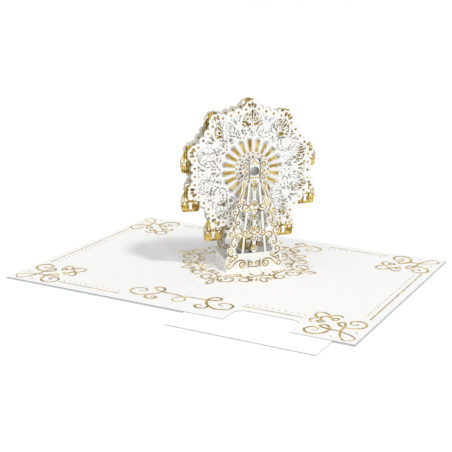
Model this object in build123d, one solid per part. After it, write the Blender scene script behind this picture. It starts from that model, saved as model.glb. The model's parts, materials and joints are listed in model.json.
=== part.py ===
from build123d import *
import os
from math import cos, radians, sin

# Pop-up greeting card, laid open flat, with a paper Ferris wheel standing on its fold.
# Millimetres. Origin: centre of the fold on the underside of the cover.
# +X runs along the long side, +Y along the fold to the back edge, +Z up.
# The wheel, its towers and the plinth stand at 45 degrees to the fold, so that they
# shear flat between the panels when the card is closed.

# Card, a 5 by 7 inch card opened out
panel_width = 127.0
card_depth = 177.8
cover_thickness = 0.35
pocket_gap = 0.40
page_thickness = 0.35
page_inset = 0.4
crease_width = 1.0
crease_depth = 0.1

# Note card and its pocket
note_width = 98.7
note_end_margin = 29.8
note_thickness = 0.3
note_centre_x = 63.6
note_reach_out = 23.0
note_side_clearance = 0.6
pocket_end_spare = 1.5
notch_width = 44.5
notch_depth = 19.5
notch_corner_radius = 7.0

# Standing paper: its thickness, and the play of a sheet in a slit cut for it
sheet = 0.35
slit_play = 0.1
slit_end_play = 0.3
# Small round outlines are cut with this many flats
small_round_side_count = 9
eye_side_count = 14
port_side_count = 6

# Placing of the standing pieces, measured along the wheel (s) and across it (c)
turn_angle = 45.0
wheel_centre_s = 14.4
wheel_centre_c = -6.5
wheel_spacing = 13.0
tower_spacing = 25.0

# Plinth
plinth_length = 41.0
plinth_height = 8.6
plinth_slot_width = 1.6
plinth_slot_height = 5.4
plinth_slot_spacing = 6.6
plinth_flap_width = 6.0
plinth_flap_relief = 1.5

# Cross slices
hub_slice_offset = 4.0
hub_slice_height = 15.0
base_slice_offset = 4.2
base_slice_height = 4.4
base_slice_lift = 3.2
tab_reach = 1.0
hook_drop = 1.2

# Towers
tower_rise_above_hub = 8.8
tower_foot_width = 40.6
tower_band_height = 12.3
tower_head_width = 16.8
tower_head_height = 15.4
tower_head_corner = 2.6
tower_eye_radius = 3.2
tower_column_width = 1.9
tower_strut_width = 1.4
tower_leg_width = 2.9
tower_band_bar = 2.2
tower_gem_radius = 2.1
tower_gem_bottom = 16.9
tower_scroll_radius = 2.7
# Half widths of the leg's outer edge, as shares of half the foot, at shares of the height
tower_edge_shares = ((0.156, 0.80), (0.27, 0.76), (0.355, 0.775), (0.52, 0.70),
                     (0.60, 0.56), (0.75, 0.43), (0.82, 0.37))
# Scroll ends that stand out of the edge: share of the height, share of half the foot
tower_scroll_shares = ((0.125, 0.865), (0.20, 0.775), (0.345, 0.68), (0.565, 0.57))
tower_band_shares = (0.345, 0.565)
tower_gem_shares = (0.0, 0.28, 0.492, 0.725, 1.0)
tower_strut_foot_share = 0.385
tower_strut_head_share = 0.13

# Wheel discs
lobe_count = 10
wheel_dot_radius = 41.0
wheel_scallop_radius = 2.9
wheel_body_radius = 40.6
wheel_inner_dot_angle = 6.6
wheel_outer_dot_angle = 14.2
wheel_tip_radius = 43.4
wheel_tip_scallop = 4.2
ring_bar_count = 20
ring_turn_angle = 3.3
ring_slot_inner = 12.3
ring_slot_outer = 20.4
ring_slot_inner_width = 1.0
ring_slot_outer_width = 2.9
petal_inner = 22.6
petal_outer = 34.4
petal_width = 3.6
leaf_step_count = 3
fan_inner = 34.6
fan_length = 4.6
fan_width = 1.3
fan_angle = 4.4
fleur_radius = 43.2
fleur_offset = 2.3
fleur_length = 3.0
fleur_width = 0.9
fleur_angle = 32.0

# Gold sunburst ring behind each disc
sunburst_bar_width = 1.9
sunburst_bar_outer = 20.0
sunburst_ring_outer = 11.0
sunburst_ring_inner = 6.2

# Gondolas: heights are from the hang point, up positive
hang_radius = 44.0
gondola_rise = 4.2
gondola_plinth_clearance = 2.3
gondola_height = 19.5
gondola_width = 12.8
gondola_basket_height = 5.6
gondola_corner = 1.7
gondola_door_width = 1.9
gondola_door_head_width = 4.4
gondola_door_head_height = 1.3
gondola_sill = 1.0
gondola_port_radius = 1.0
gondola_port_x = 4.3
gondola_arch_x = 2.7
gondola_arch_width = 1.2
hanger_height = 2.6
# Outline of the roof: share of half the width, share of the drop from apex to rail
roof_shares = ((0.20, 0.0), (0.36, 0.10), (0.24, 0.24), (0.52, 0.40), (0.97, 0.86), (0.90, 1.0))
arch_shares = (0.52, 0.88)

# Worked out from the sizes above
card_top = cover_thickness + pocket_gap + page_thickness
note_length = card_depth - note_end_margin
gondola_drop = gondola_height - gondola_rise
hub_height = plinth_height + gondola_plinth_clearance + gondola_drop + hang_radius
tower_height = hub_height + tower_rise_above_hub
tower_front_c = wheel_centre_c + tower_spacing / 2
tower_back_c = wheel_centre_c - tower_spacing / 2
wheel_front_c = wheel_centre_c + wheel_spacing / 2
wheel_back_c = wheel_centre_c - wheel_spacing / 2
lobe_angle = 360 / lobe_count
slit = sheet + slit_play
along = Vector(cos(radians(turn_angle)), sin(radians(turn_angle)), 0)
across = Vector(sin(radians(turn_angle)), -cos(radians(turn_angle)), 0)


def wheel_plane(c):
    """Upright plane parallel to the wheel, seen from the front, with its foot on the page."""
    foot = along * wheel_centre_s + across * c + Vector(0, 0, card_top)
    return Plane(origin=foot, x_dir=along, z_dir=across)


def cross_plane(s):
    """Upright plane square to the wheel; its local x runs to the back from the middle."""
    foot = along * (wheel_centre_s + s) + across * wheel_centre_c + Vector(0, 0, card_top)
    return Plane(origin=foot, x_dir=across * -1, z_dir=along)


def standing(face, plane):
    """A flat outline cut from the standing paper, centred on its plane."""
    return extrude(plane.offset(-sheet / 2) * face, amount=sheet)


def box_between(x0, x1, y0, y1):
    """Rectangle between two corners."""
    return Pos((x0 + x1) / 2, (y0 + y1) / 2) * Rectangle(x1 - x0, y1 - y0)


def polar(radius, angle):
    """Point of the wheel at a radius and an angle, clockwise from the top."""
    return radius * sin(radians(angle)), radius * cos(radians(angle))


def polygon(points):
    """Closed face with straight sides."""
    return make_face(Polyline(*points, close=True))


def small_round(radius):
    """Scallop, scroll end or gem, with enough flats to look round at its size."""
    return RegularPolygon(radius, small_round_side_count)


def mirrored(face):
    """The face and its mirror image about the upright centre line."""
    return face + mirror(face, Plane.YZ)


def bar_at(radius_in, radius_out, width_in, width_out, angle):
    """Radial bar, square at its inner end and blunt at its wider outer end."""
    half_in = width_in / 2
    half_out = width_out / 2
    shoulder = radius_out - half_out
    shape = polygon([(-half_in, radius_in), (half_in, radius_in), (half_out, shoulder),
                     (half_in, radius_out), (-half_in, radius_out), (-half_out, shoulder)])
    return Rot(0, 0, -angle) * shape


def leaf(inner, outer, width, angle):
    """Pointed oval along a radius: its half width follows a half sine over its length."""
    steps = range(1, leaf_step_count)
    right = [(width / 2 * sin(radians(180 * step / leaf_step_count)),
              inner + (outer - inner) * step / leaf_step_count) for step in steps]
    left = [(-x, y) for x, y in reversed(right)]
    return Rot(0, 0, -angle) * polygon([(0, inner)] + right + [(0, outer)] + left)


# Flat pieces of the card

def panel_sheet(inset, bottom, thickness):
    """Sheet over both panels, with its lower face at a height."""
    flat = Rectangle(2 * (panel_width - inset), card_depth - 2 * inset)
    return Pos(0, 0, bottom) * extrude(flat, amount=thickness)


def crease(top, depth_of_card):
    """Scored groove along the fold in an upper face."""
    groove = Rectangle(crease_width, depth_of_card)
    return Pos(0, 0, top - crease_depth) * extrude(groove, amount=crease_depth)


def make_cover():
    """Outer card, one folded sheet."""
    return panel_sheet(0, 0, cover_thickness) - crease(cover_thickness, card_depth)


def note_back_end():
    """Back end of the note card inside the pocket."""
    return -card_depth / 2 - note_reach_out + note_length


def make_pocket_liner():
    """Glue sheet between cover and page, left out where the note card slides."""
    bottom = cover_thickness
    half = note_width / 2 + note_side_clearance
    end = note_back_end() + note_reach_out + pocket_end_spare
    pocket = box_between(note_centre_x - half, note_centre_x + half, -card_depth / 2, end)
    pocket = Pos(0, 0, bottom) * extrude(pocket, amount=pocket_gap)
    return panel_sheet(page_inset, bottom, pocket_gap) - pocket


def make_page():
    """Inner card, one folded sheet, with the thumb notch over the pocket's mouth."""
    bottom = cover_thickness + pocket_gap
    front = -card_depth / 2
    notch = box_between(note_centre_x - notch_width / 2, note_centre_x + notch_width / 2,
                        front - notch_depth, front + notch_depth)
    notch = fillet(notch.vertices(), notch_corner_radius)
    notch = Pos(0, 0, bottom) * extrude(notch, amount=page_thickness)
    return panel_sheet(page_inset, bottom, page_thickness) - crease(card_top, card_depth) - notch


def make_note_card():
    """Blank card for the message, part of the way out of its pocket."""
    front = -card_depth / 2 - note_reach_out
    flat = box_between(note_centre_x - note_width / 2, note_centre_x + note_width / 2,
                       front, note_back_end())
    lift = cover_thickness + (pocket_gap - note_thickness) / 2
    return Pos(0, 0, lift) * extrude(flat, amount=note_thickness)


# Plinth and cross slices

def make_plinth():
    """One strip folded into an oblong box, with glue flaps turned in under its ends."""
    deep = tower_spacing - sheet
    outer = Rectangle(plinth_length, deep)
    inner = Rectangle(plinth_length - 2 * sheet, deep - 2 * sheet)
    foot = Plane(origin=along * wheel_centre_s + across * wheel_centre_c + Vector(0, 0, card_top),
                 x_dir=along, z_dir=(0, 0, 1))
    walls = extrude(foot * (outer - inner), amount=plinth_height)
    flap = Rectangle(plinth_flap_width, deep - 2 * (sheet + plinth_flap_relief))
    shift = plinth_length / 2 - sheet - plinth_flap_width / 2
    walls += extrude(foot * Pos(shift, 0) * flap, amount=sheet)
    walls += extrude(foot * Pos(-shift, 0) * flap, amount=sheet)
    slot = box_between(-plinth_slot_width / 2, plinth_slot_width / 2,
                       (plinth_height - plinth_slot_height) / 2,
                       (plinth_height + plinth_slot_height) / 2)
    slots = Pos(-plinth_slot_spacing / 2, 0) * slot + Pos(plinth_slot_spacing / 2, 0) * slot
    for side in (-1, 1):
        wall = cross_plane(side * (plinth_length - sheet) / 2)
        walls -= extrude(wall * slots, amount=sheet, both=True)
    for side in (-1, 1):
        wall = wheel_plane(wheel_centre_c + side * (deep - sheet) / 2)
        walls -= extrude(wall * base_slits(), amount=sheet, both=True)
    return walls


def slit_pair(offset, bottom, top):
    """Two upright slits for a pair of cross slices."""
    one = box_between(offset - slit / 2, offset + slit / 2, bottom, top)
    return mirrored(one)


def base_slits():
    """Slits in the long plinth walls and the tower feet."""
    return slit_pair(base_slice_offset, base_slice_lift - slit_end_play / 2,
                     base_slice_lift + base_slice_height + slit_end_play / 2)


def hub_slits():
    """Slits in the tower heads and the discs."""
    half = (hub_slice_height + slit_end_play) / 2
    return slit_pair(hub_slice_offset, hub_height - half, hub_height + half)


def cross_slice(height):
    """Outline of a cross slice that reaches through both towers."""
    half = (tower_spacing + sheet) / 2 + tab_reach
    return box_between(-half, half, 0, height)


def slice_hooks():
    """Lips that hook down over the outer faces of both tower feet."""
    tip = (tower_spacing + sheet) / 2 + tab_reach
    return mirrored(box_between(tip - tab_reach + slit_play, tip, -hook_drop, 0))


def make_hub_slice(side):
    """Upper slice beside the tower's eye, through both towers and both discs."""
    flat = Pos(0, hub_height - hub_slice_height / 2) * cross_slice(hub_slice_height)
    return standing(flat, cross_plane(side * hub_slice_offset))


def make_base_slice(side):
    """Lower slice in the plinth, with its ends hooked down over the tower feet."""
    flat = Pos(0, base_slice_lift) * (cross_slice(base_slice_height) + slice_hooks())
    return standing(flat, cross_plane(side * base_slice_offset))


# Towers

def tower_edge():
    """Outer edge points of the right leg, from the foot band to the head."""
    half = tower_foot_width / 2
    return [(share * half, rise * tower_height) for rise, share in tower_edge_shares]


def edge_width_at(height):
    """Half width of the leg's outer edge at a height."""
    points = tower_edge()
    for (x0, y0), (x1, y1) in zip(points, points[1:]):
        if y0 <= height <= y1:
            return x0 + (x1 - x0) * (height - y0) / (y1 - y0)
    return points[-1][0]


def tower_leg():
    """Right leg, a strip that follows the outer edge."""
    outer = tower_edge()
    inner = [(x - tower_leg_width, y) for x, y in reversed(outer)]
    return polygon(outer + inner)


def tower_strut():
    """Right inner strut, from the foot band up to the head."""
    half = tower_foot_width / 2
    foot = tower_strut_foot_share * half
    head = tower_strut_head_share * half
    head_bottom = tower_height - tower_head_height
    return polygon([(foot, tower_band_height), (foot + tower_strut_width, tower_band_height),
                    (head + tower_strut_width, head_bottom), (head, head_bottom)])


def tower_scrolls():
    """Round scroll ends that bulge out of the right edge."""
    half = tower_foot_width / 2
    scrolls = Sketch()
    for rise, share in tower_scroll_shares:
        scrolls += Pos(share * half, rise * tower_height) * small_round(tower_scroll_radius)
    return scrolls


def tower_bands():
    """Level bars that tie legs, struts and column."""
    bands = Sketch()
    for rise in tower_band_shares:
        height = rise * tower_height
        bands += Pos(0, height) * Rectangle(2 * edge_width_at(height), tower_band_bar)
    return bands


def tower_column():
    """Centre column with its string of gems."""
    head_bottom = tower_height - tower_head_height
    column = box_between(-tower_column_width / 2, tower_column_width / 2,
                         tower_band_height, head_bottom)
    top_gem = head_bottom - tower_gem_radius
    for share in tower_gem_shares:
        height = tower_gem_bottom + share * (top_gem - tower_gem_bottom)
        column += Pos(0, height) * small_round(tower_gem_radius)
    return column


def tower_head():
    """Head plate round the hub, with its corners cut off."""
    head = box_between(-tower_head_width / 2, tower_head_width / 2,
                       tower_height - tower_head_height, tower_height)
    return chamfer(head.vertices(), tower_head_corner)


def tower_foot():
    """Solid foot band, as wide as the plinth, with rounded shoulders."""
    half = tower_foot_width / 2
    shoulder = half - tower_scroll_radius
    foot = box_between(-half, half, 0, plinth_height)
    foot += box_between(-shoulder, shoulder, 0, tower_band_height)
    return foot


def make_tower(c):
    """One tower plate, cut in one piece."""
    half = tower_leg() + tower_strut() + tower_scrolls()
    plate = mirrored(half) + tower_foot() + tower_bands() + tower_column() + tower_head()
    plate -= Pos(0, hub_height) * RegularPolygon(tower_eye_radius, eye_side_count)
    plate -= hub_slits()
    plate -= base_slits()
    return standing(plate, wheel_plane(c))


# Wheel discs

def wheel_outline():
    """Ten lobes edged with round scallops, one at each dot and one at each tip."""
    disc = Circle(wheel_body_radius)
    for lobe in range(lobe_count):
        middle = lobe * lobe_angle
        disc += Pos(*polar(wheel_tip_radius, middle)) * small_round(wheel_tip_scallop)
        for angle in (wheel_inner_dot_angle, wheel_outer_dot_angle):
            for side in (-1, 1):
                spot = polar(wheel_dot_radius, middle + side * angle)
                disc += Pos(*spot) * small_round(wheel_scallop_radius)
    return disc


def ring_bar_angle(index):
    """Angle of a gold bar and of the slot before it, clockwise from the top."""
    return (index + 1 / 2) * 360 / ring_bar_count + ring_turn_angle


def ring_slots():
    """Sunburst of slots round the hub, behind which the gold bars show."""
    slots = Sketch()
    for index in range(ring_bar_count):
        angle = ring_bar_angle(index)
        slots += bar_at(ring_slot_inner, ring_slot_outer, ring_slot_inner_width,
                        ring_slot_outer_width, angle)
    return slots


def hanger_slit(angle):
    """Upright slit at a lobe's tip for the tab of a gondola's hanger."""
    x, y = polar(hang_radius, angle)
    return Pos(x, y) * Rectangle(slit, hanger_height + slit_end_play)


def lobe_openings(angle):
    """Openings of one lobe: petal, fan and the side bars of the fleur."""
    holes = leaf(petal_inner, petal_outer, petal_width, angle)
    holes += leaf(petal_inner, petal_outer, petal_width, angle + lobe_angle / 2)
    for side in (-1, 1):
        rise = fan_inner + fan_length / 2
        fan = Pos(*polar(rise, side * fan_angle)) * Rot(0, 0, -side * fan_angle)
        holes += Rot(0, 0, -angle) * fan * Rectangle(fan_width, fan_length)
        bar = Pos(side * fleur_offset, fleur_radius) * Rot(0, 0, -side * fleur_angle)
        holes += Rot(0, 0, -angle) * bar * Rectangle(fleur_width, fleur_length)
    return holes


def make_wheel(c):
    """One lace disc, cut in one piece and slotted for slices and hangers."""
    disc = wheel_outline() - ring_slots()
    for lobe in range(lobe_count):
        angle = lobe * lobe_angle
        disc -= lobe_openings(angle)
        disc -= hanger_slit(angle)
    disc = Pos(0, hub_height) * disc
    disc -= hub_slits()
    return standing(disc, wheel_plane(c))


def make_sunburst(c):
    """Gold ring with twenty bars, glued behind a disc's slots."""
    outline = []
    half = sunburst_bar_width / 2
    for index in range(ring_bar_count):
        angle = ring_bar_angle(index)
        for radius, side in ((sunburst_ring_outer, -half), (sunburst_bar_outer, -half),
                             (sunburst_bar_outer, half), (sunburst_ring_outer, half)):
            x, y = polar(radius, angle)
            outline.append((x + side * cos(radians(angle)), y - side * sin(radians(angle))))
    burst = polygon(outline) - small_round(sunburst_ring_inner)
    burst = Pos(0, hub_height) * burst
    burst -= hub_slits()
    return standing(burst, wheel_plane(c))


# Gondolas

def gondola_roof():
    """Right half of the pagoda roof, from the finial to the basket rail."""
    half = gondola_width / 2
    drop = gondola_height - gondola_basket_height
    return [(x * half, gondola_rise - y * drop) for x, y in roof_shares]


def gondola_outline():
    """Roof, rail and basket with its lower corners rounded off."""
    bottom = -gondola_drop
    half = gondola_width / 2
    side = [(half, bottom + gondola_basket_height), (half, bottom + gondola_corner),
            (half - gondola_corner / 3, bottom + gondola_corner / 3),
            (half - gondola_corner, bottom)]
    right = gondola_roof() + side
    left = [(-x, y) for x, y in reversed(right)]
    return polygon(right + left)


def gondola_openings():
    """Door, round ports and the arches between the ribs."""
    bottom = -gondola_drop
    drop = gondola_height - gondola_basket_height
    rail = bottom + gondola_basket_height
    door = box_between(-gondola_door_width / 2, gondola_door_width / 2,
                       bottom + gondola_sill, rail)
    door += box_between(-gondola_door_head_width / 2, gondola_door_head_width / 2,
                        rail, rail + gondola_door_head_height)
    port = Pos(gondola_port_x, rail + gondola_port_radius)
    port = port * RegularPolygon(gondola_port_radius, port_side_count)
    arch = box_between(gondola_arch_x - gondola_arch_width / 2,
                       gondola_arch_x + gondola_arch_width / 2,
                       gondola_rise - arch_shares[1] * drop,
                       gondola_rise - arch_shares[0] * drop)
    return door + mirrored(port + arch)


def make_gondola(angle):
    """Gold gondola plate, hung midway between the discs and always upright."""
    x, y = polar(hang_radius, angle)
    window = Rectangle(slit, hanger_height + slit_end_play)
    plate = gondola_outline() - gondola_openings() - window
    return standing(Pos(x, hub_height + y) * plate, wheel_plane(wheel_centre_c))


def make_gondola_hanger(angle):
    """Gold strip across the gap, with a tab through the tip of each disc."""
    x, y = polar(hang_radius, angle)
    reach = wheel_spacing + sheet + tab_reach
    strip = Rectangle(reach, hanger_height)
    return standing(Pos(0, hub_height + y) * strip, cross_plane(x))


def build():
    """Every piece of the card by the name of its node."""
    pieces = {
        "cover": make_cover(),
        "pocket_liner": make_pocket_liner(),
        "page": make_page(),
        "note_card": make_note_card(),
        "plinth": make_plinth(),
        "tower_front": make_tower(tower_front_c),
        "tower_back": make_tower(tower_back_c),
        "wheel_front": make_wheel(wheel_front_c),
        "wheel_back": make_wheel(wheel_back_c),
        "sunburst_front": make_sunburst(wheel_front_c - sheet),
        "sunburst_back": make_sunburst(wheel_back_c - sheet),
        "hub_slice_left": make_hub_slice(-1),
        "hub_slice_right": make_hub_slice(1),
        "base_slice_left": make_base_slice(-1),
        "base_slice_right": make_base_slice(1),
    }
    for lobe in range(lobe_count):
        angle = lobe * lobe_angle
        pieces[f"gondola_{lobe + 1:02d}"] = make_gondola(angle)
        pieces[f"gondola_hanger_{lobe + 1:02d}"] = make_gondola_hanger(angle)
    return pieces


os.makedirs("parts", exist_ok=True)
for node, solid in build().items():
    export_step(solid, f"parts/{node}.step")
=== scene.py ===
"""Looks of a pop-up greeting card with a lace-cut paper Ferris wheel.

Pieces are drawn in millimetres as flat outlines, cut from paper of one thickness and stood in
the card's own frame, and turned to metres as they are placed.
"""

import json
import logging
import math
from dataclasses import dataclass, field
from enum import Enum

import bpy
import numpy as np
from mathutils import Matrix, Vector
from mathutils.geometry import delaunay_2d_cdt


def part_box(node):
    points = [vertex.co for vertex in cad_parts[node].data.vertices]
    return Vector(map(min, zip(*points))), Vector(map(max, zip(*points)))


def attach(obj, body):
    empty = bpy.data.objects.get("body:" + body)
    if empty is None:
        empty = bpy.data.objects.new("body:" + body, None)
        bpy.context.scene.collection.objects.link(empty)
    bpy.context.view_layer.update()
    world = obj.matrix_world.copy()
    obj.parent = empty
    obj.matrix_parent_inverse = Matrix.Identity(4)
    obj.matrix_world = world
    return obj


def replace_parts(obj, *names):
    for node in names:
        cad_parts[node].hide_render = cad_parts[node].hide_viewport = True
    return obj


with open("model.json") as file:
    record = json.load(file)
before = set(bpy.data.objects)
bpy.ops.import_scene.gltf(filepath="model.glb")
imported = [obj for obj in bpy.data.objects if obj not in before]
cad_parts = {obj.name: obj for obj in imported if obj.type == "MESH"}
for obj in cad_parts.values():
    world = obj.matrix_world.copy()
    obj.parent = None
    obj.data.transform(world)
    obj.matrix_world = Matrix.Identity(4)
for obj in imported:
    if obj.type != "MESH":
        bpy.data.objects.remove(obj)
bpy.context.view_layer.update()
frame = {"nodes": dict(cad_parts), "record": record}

MM = 0.001
PAPER = 0.35
CUT_PLAY = 0.1
# The foil stands proud of the paper, is sunk a little into it, and climbs along each shape.
FOIL_PROUD = 0.03
FOIL_SUNK = 0.01
FOIL_CLIMB = 0.003
CARD = "card"
LOG = logging.getLogger("card")
Outline = np.ndarray


class Slot(Enum):
    """The record's material slots."""

    WHITE = "white_card"
    LACE = "lace_card"
    GOLD = "gold_card"


# Flat drawing

def disc(x: float, y: float, radius: float, sides: int = 20) -> Outline:
    """Circle as a closed outline: centre plus radius times sine and cosine.

    Args:
        x, y: Centre.
        radius: Radius.
        sides: How many flats.

    Returns:
        Points of the outline, counter-clockwise.
    """
    turn_steps = np.arange(sides) * 2 * np.pi / sides
    return np.column_stack([x + radius * np.cos(turn_steps), y + radius * np.sin(turn_steps)])


def box(x0: float, y0: float, x1: float, y1: float) -> Outline:
    """Rectangle between two corners."""
    return np.array([(x0, y0), (x1, y0), (x1, y1), (x0, y1)], float)


def turned(points: Outline, angle: float) -> Outline:
    """Points turned clockwise about the origin by an angle in degrees."""
    cos_a, sin_a = math.cos(math.radians(angle)), math.sin(math.radians(angle))
    return points @ np.array([[cos_a, -sin_a], [sin_a, cos_a]])


def moved(points: Outline, x: float, y: float) -> Outline:
    """Points shifted by x and y."""
    return points + np.array([x, y])


def flipped(points: Outline) -> Outline:
    """Mirror image about the upright axis, in an order that keeps the same turning sense."""
    return (points * np.array([-1.0, 1.0]))[::-1]


def both_sides(outlines: list[Outline]) -> list[Outline]:
    """The outlines and their mirror images."""
    return outlines + [flipped(outline) for outline in outlines]


def around(outlines: list[Outline], count: int, first: float = 0.0) -> list[Outline]:
    """Copies of the outlines at equal angles round the origin.

    Args:
        outlines: What is repeated.
        count: How many copies.
        first: Angle of the first copy, clockwise from the top.

    Returns:
        All copies.
    """
    angles = first + np.arange(count) * 360 / count
    return [turned(outline, angle) for angle in angles for outline in outlines]


def smooth(points: list[tuple[float, float]], steps: int = 5) -> Outline:
    """Smooth line through given points: each span is a Catmull-Rom cubic.

    Args:
        points: Points that the line passes.
        steps: Divisions of each span.

    Returns:
        Points along the line.
    """
    knots = np.array(points, float)
    padded = np.vstack([2 * knots[0] - knots[1], knots, 2 * knots[-1] - knots[-2]])
    before, start, end, after = padded[:-3], padded[1:-2], padded[2:-1], padded[3:]
    t = (np.arange(steps) / steps)[None, :, None]
    before, start, end, after = (knot[:, None, :] for knot in (before, start, end, after))
    spans = 0.5 * (2 * start + (end - before) * t
                   + (2 * before - 5 * start + 4 * end - after) * t ** 2
                   + (3 * start - before - 3 * end + after) * t ** 3)
    return np.vstack([spans.reshape(-1, 2), knots[-1:]])


def normals(path: Outline) -> Outline:
    """Unit vectors to the left of a path: its gradient, made 1 long and turned a quarter.

    Args:
        path: Points along the path.

    Returns:
        One vector for each point.
    """
    heading = np.gradient(path, axis=0)
    heading /= np.maximum(np.linalg.norm(heading, axis=1, keepdims=True), 1e-9)
    return np.column_stack([-heading[:, 1], heading[:, 0]])


def swell(count: int, thin: float, thick: float) -> np.ndarray:
    """Half widths of a pen stroke: thin ends and a full middle, by half a sine wave."""
    return thin + (thick - thin) * np.sin(np.pi * np.linspace(0, 1, count))


def stroke(path: Outline, half: float | np.ndarray) -> Outline:
    """Outline of a band along a path: half a width to its right, then back on its left.

    Args:
        path: Centre line.
        half: Half width, one value or one for each point.

    Returns:
        Closed outline, counter-clockwise.
    """
    side = normals(path) * np.reshape(np.broadcast_to(half, len(path)), (-1, 1))
    return np.vstack([path - side, (path + side)[::-1]])


def bar(start: tuple[float, float], end: tuple[float, float], width_start: float,
        width_end: float, steps: int = 5) -> Outline:
    """Straight bar with two round ends: a half circle, a taper and a half circle.

    Args:
        start, end: Centres of the round ends.
        width_start, width_end: Widths there.
        steps: Divisions of each half circle.

    Returns:
        Closed outline.
    """
    first, last = np.array(start, float), np.array(end, float)
    heading = math.atan2(*(last - first)[::-1])
    sweep = np.linspace(-np.pi / 2, np.pi / 2, steps + 1)
    tip = np.column_stack([np.cos(heading + sweep), np.sin(heading + sweep)])
    return np.vstack([last + tip * width_end / 2, first - tip * width_start / 2])


def drop(x: float, y: float, aim: float, length: float, width: float,
         steps: int = 6) -> Outline:
    """Drop-shaped slit: a line whose half width follows a sine, fullest near its root.

    Args:
        x, y: Middle of the slit.
        aim: Its heading, clockwise from the top, in degrees.
        length, width: Size.
        steps: Divisions along it.

    Returns:
        Closed outline.
    """
    share = np.linspace(0, 1, steps + 1)
    heading = math.radians(aim)
    along = np.outer(share - 0.5, (math.sin(heading), math.cos(heading)))
    path = moved(along * length, x, y)
    half = width / 2 * np.sqrt(np.sin(np.pi * np.clip(share, 0.02, 0.985) ** 0.75))
    return stroke(path, half)


def pear(x: float, y: float, radius: float, point: float = 1.0, sides: int = 22) -> Outline:
    """Pear: a circle whose width is drawn in by the sine of half the angle from its point.

    Args:
        x, y: Centre.
        radius: Half height.
        point: 1 with the point up, -1 with the point down.
        sides: How many flats.

    Returns:
        Closed outline.
    """
    angle = (np.arange(sides) + 0.5) * 2 * np.pi / sides
    wide = 0.98 * radius * np.sin(angle) * np.sin(angle / 2)
    pear_points = np.column_stack([-wide, point * radius * np.cos(angle)])
    return moved(pear_points if point > 0 else pear_points[::-1], x, y)


def closed(outline: Outline) -> Outline:
    """An outline as a line that ends on its first point."""
    return np.vstack([outline, outline[:1]])


def slice_slits(offset: float, low: float, high: float) -> list[Outline]:
    """Upright slits of a pair of slices, as wide as the paper and its play.

    Args:
        offset: Distance of each slit from the upright axis.
        low, high: Heights of its ends.

    Returns:
        The right slit and the left one.
    """
    half = (PAPER + CUT_PLAY) / 2
    return both_sides([box(offset - half, low, offset + half, high)])


# Meshes

@dataclass
class Solid:
    """Points and faces that are joined into one mesh."""

    points: list[np.ndarray] = field(default_factory=list)
    faces: list[list[int]] = field(default_factory=list)
    count: int = 0

    def add(self, points: np.ndarray, faces: list[list[int]]) -> None:
        """Adds a closed shell.

        Args:
            points: Its points.
            faces: Its faces, counted from its own first point.
        """
        start = self.count
        self.points.append(points)
        self.faces.extend([index + start for index in face] for face in faces)
        self.count += len(points)


def prism(outline: Outline, low: float, high: float) -> tuple[np.ndarray, list[list[int]]]:
    """Upright prism on a convex outline: the outline at two heights, joined by walls.

    Args:
        outline: Counter-clockwise outline.
        low, high: Heights of its ends.

    Returns:
        Points and faces.
    """
    count = len(outline)
    points = np.vstack([np.column_stack([outline, np.full(count, level)])
                        for level in (low, high)])
    steps = np.arange(count)
    after = (steps + 1) % count
    walls = np.column_stack([steps, after, after + count, steps + count]).tolist()
    return points, walls + [steps[::-1].tolist(), (steps + count).tolist()]


def ribbon(path: Outline, half: float | np.ndarray, low: np.ndarray,
           high: np.ndarray) -> tuple[np.ndarray, list[list[int]]]:
    """Flat band carried along a path: a rectangle of four corners at each point, with two ends.

    Args:
        path: Centre line.
        half: Half width, one value or one for each point.
        low, high: Heights of the band's two faces at each point.

    Returns:
        Points and faces.
    """
    count = len(path)
    side = normals(path) * np.reshape(np.broadcast_to(half, count), (-1, 1))
    corners = [(path - side, low), (path + side, low), (path + side, high), (path - side, high)]
    grid = np.stack([np.column_stack([flat, level]) for flat, level in corners], axis=1)
    station = np.arange(count - 1)[:, None] * 4
    corner = np.arange(4)[None, :]
    follow = (corner + 1) % 4
    quads = np.stack([station + corner, station + corner + 4, station + follow + 4,
                      station + follow], axis=-1).reshape(-1, 4).tolist()
    last = 4 * (count - 1)
    ends = [[0, 1, 2, 3], [last + 3, last + 2, last + 1, last]]
    return grid.reshape(-1, 3), quads + ends


def largest_sheet(triangles: np.ndarray, point_count: int) -> np.ndarray:
    """Triangles of the sheet that hangs together from the most of them.

    Each point starts with its own label, and each triangle gives its three points the lowest
    of their labels until none changes, so that every sheet ends with one label.

    Args:
        triangles: Rows of three point numbers.
        point_count: How many points there are.

    Returns:
        The rows of the largest sheet.
    """
    labels = np.arange(point_count)
    while True:
        lowest = labels[triangles].min(axis=1)
        fresh = labels.copy()
        np.minimum.at(fresh, triangles.reshape(-1), np.repeat(lowest, 3))
        if np.array_equal(fresh, labels):
            break
        labels = fresh[fresh]
    owner = labels[triangles[:, 0]]
    return triangles[owner == np.bincount(owner).argmax()]


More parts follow.
